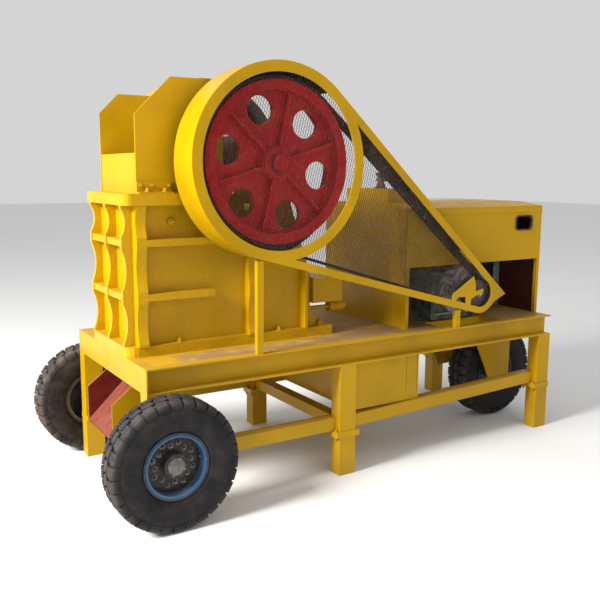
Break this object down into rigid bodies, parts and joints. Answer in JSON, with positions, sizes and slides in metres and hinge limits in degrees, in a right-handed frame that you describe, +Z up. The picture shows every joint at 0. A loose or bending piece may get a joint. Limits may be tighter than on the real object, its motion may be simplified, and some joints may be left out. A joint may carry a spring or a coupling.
{
  "type": "portable jaw crusher",
  "caption": "Portable jaw crusher: cast crusher with sheet hopper, spoked flywheels, guarded belt drive and a diesel engine under a hood, on a wheeled and legged steel frame.",
  "frame": {"origin": "on the ground under the middle of the object's bounding box", "axes": "+X along the frame from the crusher end to the engine end, +Y from the belt guard side to the other side, +Z up"},
  "size_m": [3.42, 1.522, 2.325],
  "materials": {
    "yellow_paint": "gloss enamel, dusty",
    "red_paint": "gloss enamel",
    "red_oxide": "matt primer",
    "blue_paint": "gloss enamel, worn",
    "tyre_rubber": "matt",
    "belt_rubber": "matt",
    "deck_steel": "dusty chequer plate",
    "bare_steel": "machined",
    "cast_jaw": "rough cast",
    "mesh_steel": "dark expanded metal",
    "engine_paint": "oily dark green",
    "exhaust_steel": "sooty"
  },
  "bodies": {
    "plant": {"main_rails": "yellow_paint", "end_beams": "yellow_paint", "cross_beams": "yellow_paint", "crusher_bearers": "yellow_paint", "engine_bearers": "yellow_paint", "legs": "yellow_paint", "bolt_on_feet": "yellow_paint", "lower_rails": "yellow_paint", "fuel_tank": "yellow_paint", "crusher_base": "yellow_paint", "crusher_side_wall_near": "yellow_paint", "crusher_side_wall_far": "yellow_paint", "crusher_front_wall": "yellow_paint", "crusher_rear_wall": "yellow_paint", "top_flange": "yellow_paint", "bearing_housings": "yellow_paint", "tension_rods": "yellow_paint", "hopper_side_plates": "yellow_paint", "hopper_end_plates": "yellow_paint", "belt_guard_frame": "yellow_paint", "guard_top_leg": "yellow_paint", "belt_guard_band": "yellow_paint", "far_guard": "yellow_paint", "guard_posts": "yellow_paint", "hood_side_panels": "yellow_paint", "hood_end_panels": "yellow_paint", "hood_lid": "yellow_paint", "air_cowl": "yellow_paint", "rear_axle_brackets": "yellow_paint", "axles": "yellow_paint", "discharge_chute": "red_oxide", "deck_plates": "deck_steel", "fixed_jaw": "cast_jaw", "swing_jaw": "cast_jaw", "guard_meshes": "mesh_steel", "drive_belts": "belt_rubber", "engine": "engine_paint", "exhaust_stack": "exhaust_steel"},
    "rotor": {"eccentric_shaft": "bare_steel", "flywheel_near": "red_paint", "flywheel_far": "red_paint"},
    "pulley": {"engine_pulley": "bare_steel"},
    "front_near_wheel": {"front_near_wheel_tyre": "tyre_rubber", "front_near_wheel_rim": "blue_paint"},
    "front_far_wheel": {"front_far_wheel_tyre": "tyre_rubber", "front_far_wheel_rim": "blue_paint"},
    "rear_wheel": {"rear_wheel_tyre": "tyre_rubber", "rear_wheel_rim": "blue_paint"}
  },
  "joints": [
    {"name": "rotor_spin", "type": "hinge", "parent": "plant", "child": "rotor", "pos_m": [-0.675, 0, 1.806], "axis": [0, 1, 0], "continuous": true},
    {"name": "pulley_spin", "type": "hinge", "parent": "plant", "child": "pulley", "pos_m": [0.808, 0, 1], "axis": [0, 1, 0], "continuous": true},
    {"name": "front_near_wheel_spin", "type": "hinge", "parent": "plant", "child": "front_near_wheel", "pos_m": [-1.372, -0.675, 0.338], "axis": [0, 1, 0], "continuous": true},
    {"name": "front_far_wheel_spin", "type": "hinge", "parent": "plant", "child": "front_far_wheel", "pos_m": [-1.372, 0.675, 0.338], "axis": [0, 1, 0], "continuous": true},
    {"name": "rear_wheel_spin", "type": "hinge", "parent": "plant", "child": "rear_wheel", "pos_m": [1.372, -0.125, 0.338], "axis": [0, 1, 0], "continuous": true}
  ],
  "couplings": [
    {"joint": "pulley_spin", "follows": "rotor_spin", "ratio": 5.0588}
  ]
}
